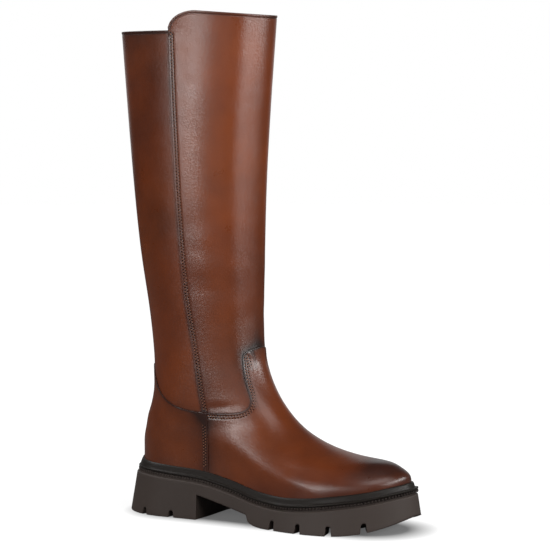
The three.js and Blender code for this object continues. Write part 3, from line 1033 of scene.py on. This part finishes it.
def make_ribs():
    """Upright ribs in the groove under the lip."""
    dense = closed_turns(np.linspace(0, 1, 400))
    line = rim_point(RIB["middle"], dense, lip_reach(dense) - RIB["inset"])
    length = run_length(line)
    count = round(length[-1] / RIB["pitch"])
    at = np.arange(count) * length[-1] / count
    middle = np.stack([np.interp(at, length, line[:, k]) for k in range(3)], -1)
    forwards = np.roll(middle, -1, 0) - np.roll(middle, 1, 0)
    upright = bead(RIB, fullness=0.3)[..., [1, 2, 0]]
    make("ribs", [stamp(upright, middle, forwards, UP + 0 * middle)[:, ::-1]], RIB_FINISH, "outsole_rubber")


# ---- outsole

GROOVE_REACH = 4.2
SPRING = {"from": 208, "length": 66, "rise": 15.5, "power": 2.3}

# The sole's underside in side view, before the toe spring: heel, breast, arch and forefoot.
UNDERSIDE = table(
    "x z",
    [-40, 0], [74.2, 0], [74.8, 0.2], [75, 0.8], [75.05, 21.2], [75.4, 22], [76.2, 21.9],  # heel and breast
    [128.3, 10.2], [129, 9.9], [129.5, 9], [131.3, 4.9], [131.8, 4.2],  # arch and its step
    [134.5, 2.6], [138, 1.35], [143, 0.5], [147, 0.12], [150, 0], [300, 0],  # forefoot
)
ARCH_SPAN = (75, 131)
NOTCH = {"width": 6.4, "taper": 0.72, "length": 24}
NOTCHES = table("x height", [20, 6.2], [49, 6.2], [157, 8.5], [184.5, 8.5], [213, 8.5], [241.5, 8.5])
TREAD = {"rim": 17, "depth": 5, "pockets": ((16, 60), (150, 240))}
CHEVRON = {"bar": 9, "sweep": 7, "span": 34, "stations": (31, 52, 157, 177, 197, 217)}
SHOULDER_SECTION = table("height reach", [-5.5, 4.2], [-5.55, 5], [-5.8, 5.6], [-6.2, 6], [-6.8, 6.2])


def wall_foot(turn):
    """Where the sole's wall meets the floor plane."""
    reach = smooth(FLARE["x"], FLARE["reach"], ring_point(0, turn)[..., 0])
    foot = rim_point(-LASTING_DEPTH, turn, reach)
    foot[..., 2] = 0
    return foot


def along_wall(side):
    """Turns, x and length along the foot of the wall on one side (-1 outer, 1 inner), in small steps."""
    half = np.linspace(0, 1, 1501)
    foot = wall_foot(half if side < 0 else 2 - half)
    return half, foot[:, 0], run_length(foot)


def notch_outline(height):
    """Half widths and heights of a notch in the wall, from its foot up to the top of its round roof."""
    radius = NOTCH["width"] * NOTCH["taper"] / 2
    bend = np.radians([0, 30, 60, 90])
    foot = mix(NOTCH["width"] / 2, radius, 3 / (height - radius + 3))
    widths = [foot + 0.25, foot, *(radius * np.cos(bend))]
    return np.array(widths), np.array([0, 0.3, *(height - radius + radius * np.sin(bend))])


def notch_height(side, turn):
    """Height of the notches over the underside, for turns on one side."""
    half, x, length = along_wall(side)
    at = np.interp(turn, half, length)
    height = 0 * turn
    for station, top in zip(*NOTCHES.values()):
        widths, heights = notch_outline(top)
        offset = np.abs(at - np.interp(station, x, length))
        height = np.maximum(height, np.interp(-offset, -widths, heights, left=0, right=top))
    return height


def sole_turns():
    """Turns of the sole's columns: even steps of the wall's length, and closer ones at the notches and the
    steps of the underside."""
    half, x, length = along_wall(-1)
    turns = [np.interp(np.linspace(0, length[-1], round(length[-1] / 1.6)), length, half)]
    turns.append(np.interp(UNDERSIDE["x"][1:-1], ring_point(0, half)[..., 0], half))
    for side in (-1, 1):
        half, x, length = along_wall(side)
        for station, top in zip(*NOTCHES.values()):
            widths = notch_outline(top)[0]
            offsets = np.concatenate([[-widths[0] - 0.6], -widths, widths, [widths[0] + 0.6]])
            turns.append(np.interp(np.interp(station, x, length) + offsets, length, half))
    return np.unique(np.round(np.concatenate(turns), 6))


def spring(x):
    return SPRING["rise"] * np.clip((x - SPRING["from"]) / SPRING["length"], 0, None) ** SPRING["power"]


def pocket_depth(points):
    """Depth of the tread between the chevrons: the pockets along x, less each bar, with soft edges."""
    x, y = points[..., 0], points[..., 1]
    edge = 0.5
    pocket = sum(step(x, a - edge, a + edge) * step(-x, -b - edge, -b + edge) for a, b in TREAD["pockets"])
    half = CHEVRON["span"] / 2
    middle = (smooth(OUTLINE["x"], OUTLINE["inner"], x) - smooth(OUTLINE["x"], OUTLINE["outer"], x)) / 2
    off = np.abs(y - middle)
    bars = 0 * x
    for station in CHEVRON["stations"]:
        ahead = x - (station - CHEVRON["bar"]) - CHEVRON["sweep"] * (1 - off / half)
        inside = np.minimum(np.minimum(ahead, CHEVRON["bar"] - ahead), half - off)
        bars = np.maximum(bars, step(inside, -edge, edge))
    return TREAD["depth"] * pocket * (1 - bars)


WALL_SHARES = (0.04, 0.12, 0.3, 0.5, 0.7, 0.88)  # rings down the wall
BOTTOM_EDGE = ((0.9, 0), (0.35, 0.12), (0.1, 0.4), (0, 0.9))  # height over the bottom and distance in
TREAD_RINGS = (1.6, 3.5, 7, 11, 14.5, 16.4, 16.8, 17.2, 17.6, 20, 23.2, 23.8, 24.4)  # distance in


def make_outsole():
    """The sole as one closed skin: across its hidden top, down the groove, the shoulder and the wall, round
    the bottom edge, in under the rim in rings, and across the tread."""
    half = sole_turns()
    turn = closed_turns(half)
    x_last = ring_point(0, turn)[..., 0]
    foot = wall_foot(turn)
    notches = np.concatenate([notch_height(-1, half), notch_height(1, half)[-2::-1]])
    underside = np.interp(x_last, UNDERSIDE["x"], UNDERSIDE["z"])
    base = underside + spring(foot[..., 0])
    bottom = base + notches
    outwards = rim_point(-LASTING_DEPTH, turn, 1) - rim_point(-LASTING_DEPTH, turn, 0)
    outwards = unit(outwards * (1 - UP))

    rings = [rim_point(-LIP["thickness"] - 0.3, turn, GROOVE_REACH)]
    rings += [rim_point(height, turn, reach) for height, reach in zip(*SHOULDER_SECTION.values())]
    shoulder = rings[-1]

    def wall(height):
        return mix(foot, shoulder, (height / shoulder[..., 2])[..., None])

    rings += [wall(mix(shoulder[..., 2], bottom + BOTTOM_EDGE[0][0], share)) for share in WALL_SHARES]
    rings += [wall(bottom + height) - outwards * inset for height, inset in BOTTOM_EDGE]
    off_arch = (x_last < ARCH_SPAN[0]) | (x_last > ARCH_SPAN[1])
    for inset in TREAD_RINGS:
        ring = foot - outwards * inset
        pocket = pocket_depth(ring) * step(inset, TREAD["rim"] - 0.5, TREAD["rim"] + 0.5)
        notch = notches * step(-inset, -NOTCH["length"], 0.5 - NOTCH["length"])
        ring[..., 2] = base + np.maximum(notch, pocket) * off_arch
        rings.append(ring)
    tread = across(rings[-1], 29)
    inner = tread[:, 1:-1]
    inner[..., 2] = underside[: len(half), None] + spring(inner[..., 0]) + pocket_depth(inner)
    grids = [across(rings[0], 3)[:, ::-1], np.stack(rings)[::-1], tread]
    make("lugged_outsole", grids, OUTSOLE_FINISH, "outsole_rubber", ["outsole"], sharp=35)


# ---- studio

CAMERA = {"target": (0.00675, 0.0018, 0.2167), "azimuth": 29.42, "elevation": 4.444, "distance": 1.993,
          "lens": 148.2}


def from_outside(azimuth, elevation, distance=1, target=(0, 0, 0)):
    """A point at a distance from a target; azimuth 0 looks at the outer side and turns towards the toe."""
    a, e = math.radians(azimuth), math.radians(elevation)
    back = np.array([math.sin(a) * math.cos(e), -math.cos(a) * math.cos(e), math.sin(e)])
    return np.array(target) + distance * back


def place_facing(name, data, place, target):
    """A camera or light at a place, looking at a target."""
    thing = bpy.data.objects.new(name, data)
    thing.location = place
    thing.rotation_euler = (Vector(target) - Vector(place)).to_track_quat("-Z", "Y").to_euler()
    bpy.context.scene.collection.objects.link(thing)
    return thing


def make_camera():
    data = bpy.data.cameras.new("camera")
    data.lens = CAMERA["lens"]
    data.sensor_width = 36
    place = from_outside(*(CAMERA[name] for name in ("azimuth", "elevation", "distance", "target")))
    bpy.context.scene.camera = place_facing("camera", data, place, CAMERA["target"])


SHAFT_MIDDLE = (0, 0, 0.2)
SOFTBOXES = table(
    "azimuth elevation distance width height roll radiance",
    [-16, 5.4, 1.5, 0.52, 0.24, -26, 17],  # left of the camera, for the shaft
    [-4, 16, 1.5, 0.36, 0.4, 0, 12],  # and over it, for the foot
    [-33, 5, 1.5, 0.16, 0.26, -10, 6],  # a narrow one for the leg's outer side
    [-80, 40, 1.5, 0.8, 0.8, 0, 7.5],  # behind, for the rear panel
    [97, 12.2, 1.2, 1.7, 0.22, 6, 16],  # right, for the shaft
    [57, 41, 1.2, 0.8, 0.75, 0, 4.2],  # and over it, for the instep and the toe
    [20, 10, 2.3, 1.5, 1.1, 0, 1.1],  # a dim one behind the camera
)


def make_lights():
    """Softboxes that look at the shaft. A box of radiance 1 looks as bright as white paper, and sends out pi
    watts a square metre."""
    rows = zip(*SOFTBOXES.values())
    for k, (azimuth, elevation, distance, width, height, roll, radiance) in enumerate(rows):
        data = bpy.data.lights.new(f"softbox_{k}", "AREA")
        data.shape = "RECTANGLE"
        data.size, data.size_y = width, height
        data.energy = radiance * math.pi * width * height
        place = from_outside(azimuth, elevation, distance, SHAFT_MIDDLE)
        light = place_facing(f"softbox_{k}", data, place, SHAFT_MIDDLE)
        light.rotation_euler.rotate_axis("Z", math.radians(roll))


# Brightness of the world over the cosine to the point straight behind the boot.
PAPER = {"from": 0.8, "to": 0.92, "dim": 0.07, "bright": 0.65}


def make_world():
    """White paper behind the boot for grazing reflections, dim all round, and plain white to look at."""
    world = bpy.data.worlds.new("studio")
    bpy.context.scene.world = world
    world.use_nodes = True
    studio = Nodes(world.node_tree)
    direction = studio.node("TexCoord").outputs["Generated"]
    inputs = {0: direction, 1: from_outside(CAMERA["azimuth"] + 180, 0)}
    behind = studio.node("VectorMath", inputs, operation="DOT_PRODUCT").outputs["Value"]
    paper = studio.remap(behind, *PAPER.values())
    seen = studio.node("LightPath").outputs["Is Camera Ray"]
    background = studio.tree.nodes["Background"]
    studio.feed(background.inputs["Color"], (1, 1, 1, 1))
    studio.feed(background.inputs["Strength"], studio.math("MAXIMUM", paper, seen))


# Metres: the rings of the floor, and the ends of the line on it from which its shade is measured.
FLOOR_RADII = (1e-4, 0.3, 0.8, 2, 6)
SHADE_LINE = (-0.085, 0.105)


def make_floor():
    """A wide disc, grey to the light and white to look at, with a painted shadow that is darker near the
    sole and darkest under it: the gap is the distance to a line along the boot's middle."""
    turn = np.linspace(0, 2 * np.pi, 97)
    radii = np.array(FLOOR_RADII)[:, None] / MM
    points = np.stack([radii * np.cos(turn), radii * np.sin(turn), 0 * radii * turn], -1) - HEEL_POINT
    finish = Finish("pale_floor")
    x = finish.node("SeparateXYZ", {0: finish.place}).outputs["X"]
    nearest = finish.node("Clamp", {"Value": x, "Min": SHADE_LINE[0], "Max": SHADE_LINE[1]}).outputs[0]
    axis = finish.node("CombineXYZ", {0: nearest}).outputs[0]
    gap = finish.node("VectorMath", {0: finish.place, 1: axis}, operation="DISTANCE").outputs["Value"]
    contact_shadow = finish.remap(gap, 0.03, 0.062, 0.1, 1.0)
    shade = finish.math("MINIMUM", contact_shadow, finish.remap(gap, 0.05, 0.3, 0.86, 1.0))
    seen = finish.node("LightPath").outputs["Is Camera Ray"]
    finish.set(Base_Color=(0.15, 0.15, 0.15, 1), Roughness=0.7, Emission_Color=(1, 1, 1, 1))
    finish.set(Specular_IOR_Level=0.0, Emission_Strength=finish.math("MULTIPLY", shade, seen))
    shape("floor", [points[:, ::-1]], finish.material)


make_camera()
make_world()
make_lights()
make_floor()
make_front_panel()
make_rear_panel()
make_vamp()
make_counter()
make_lining()
make_footbed()
make_stitching()
make_welt()
make_ribs()
make_outsole()
bpy.context.scene.view_settings.view_transform = "Standard"
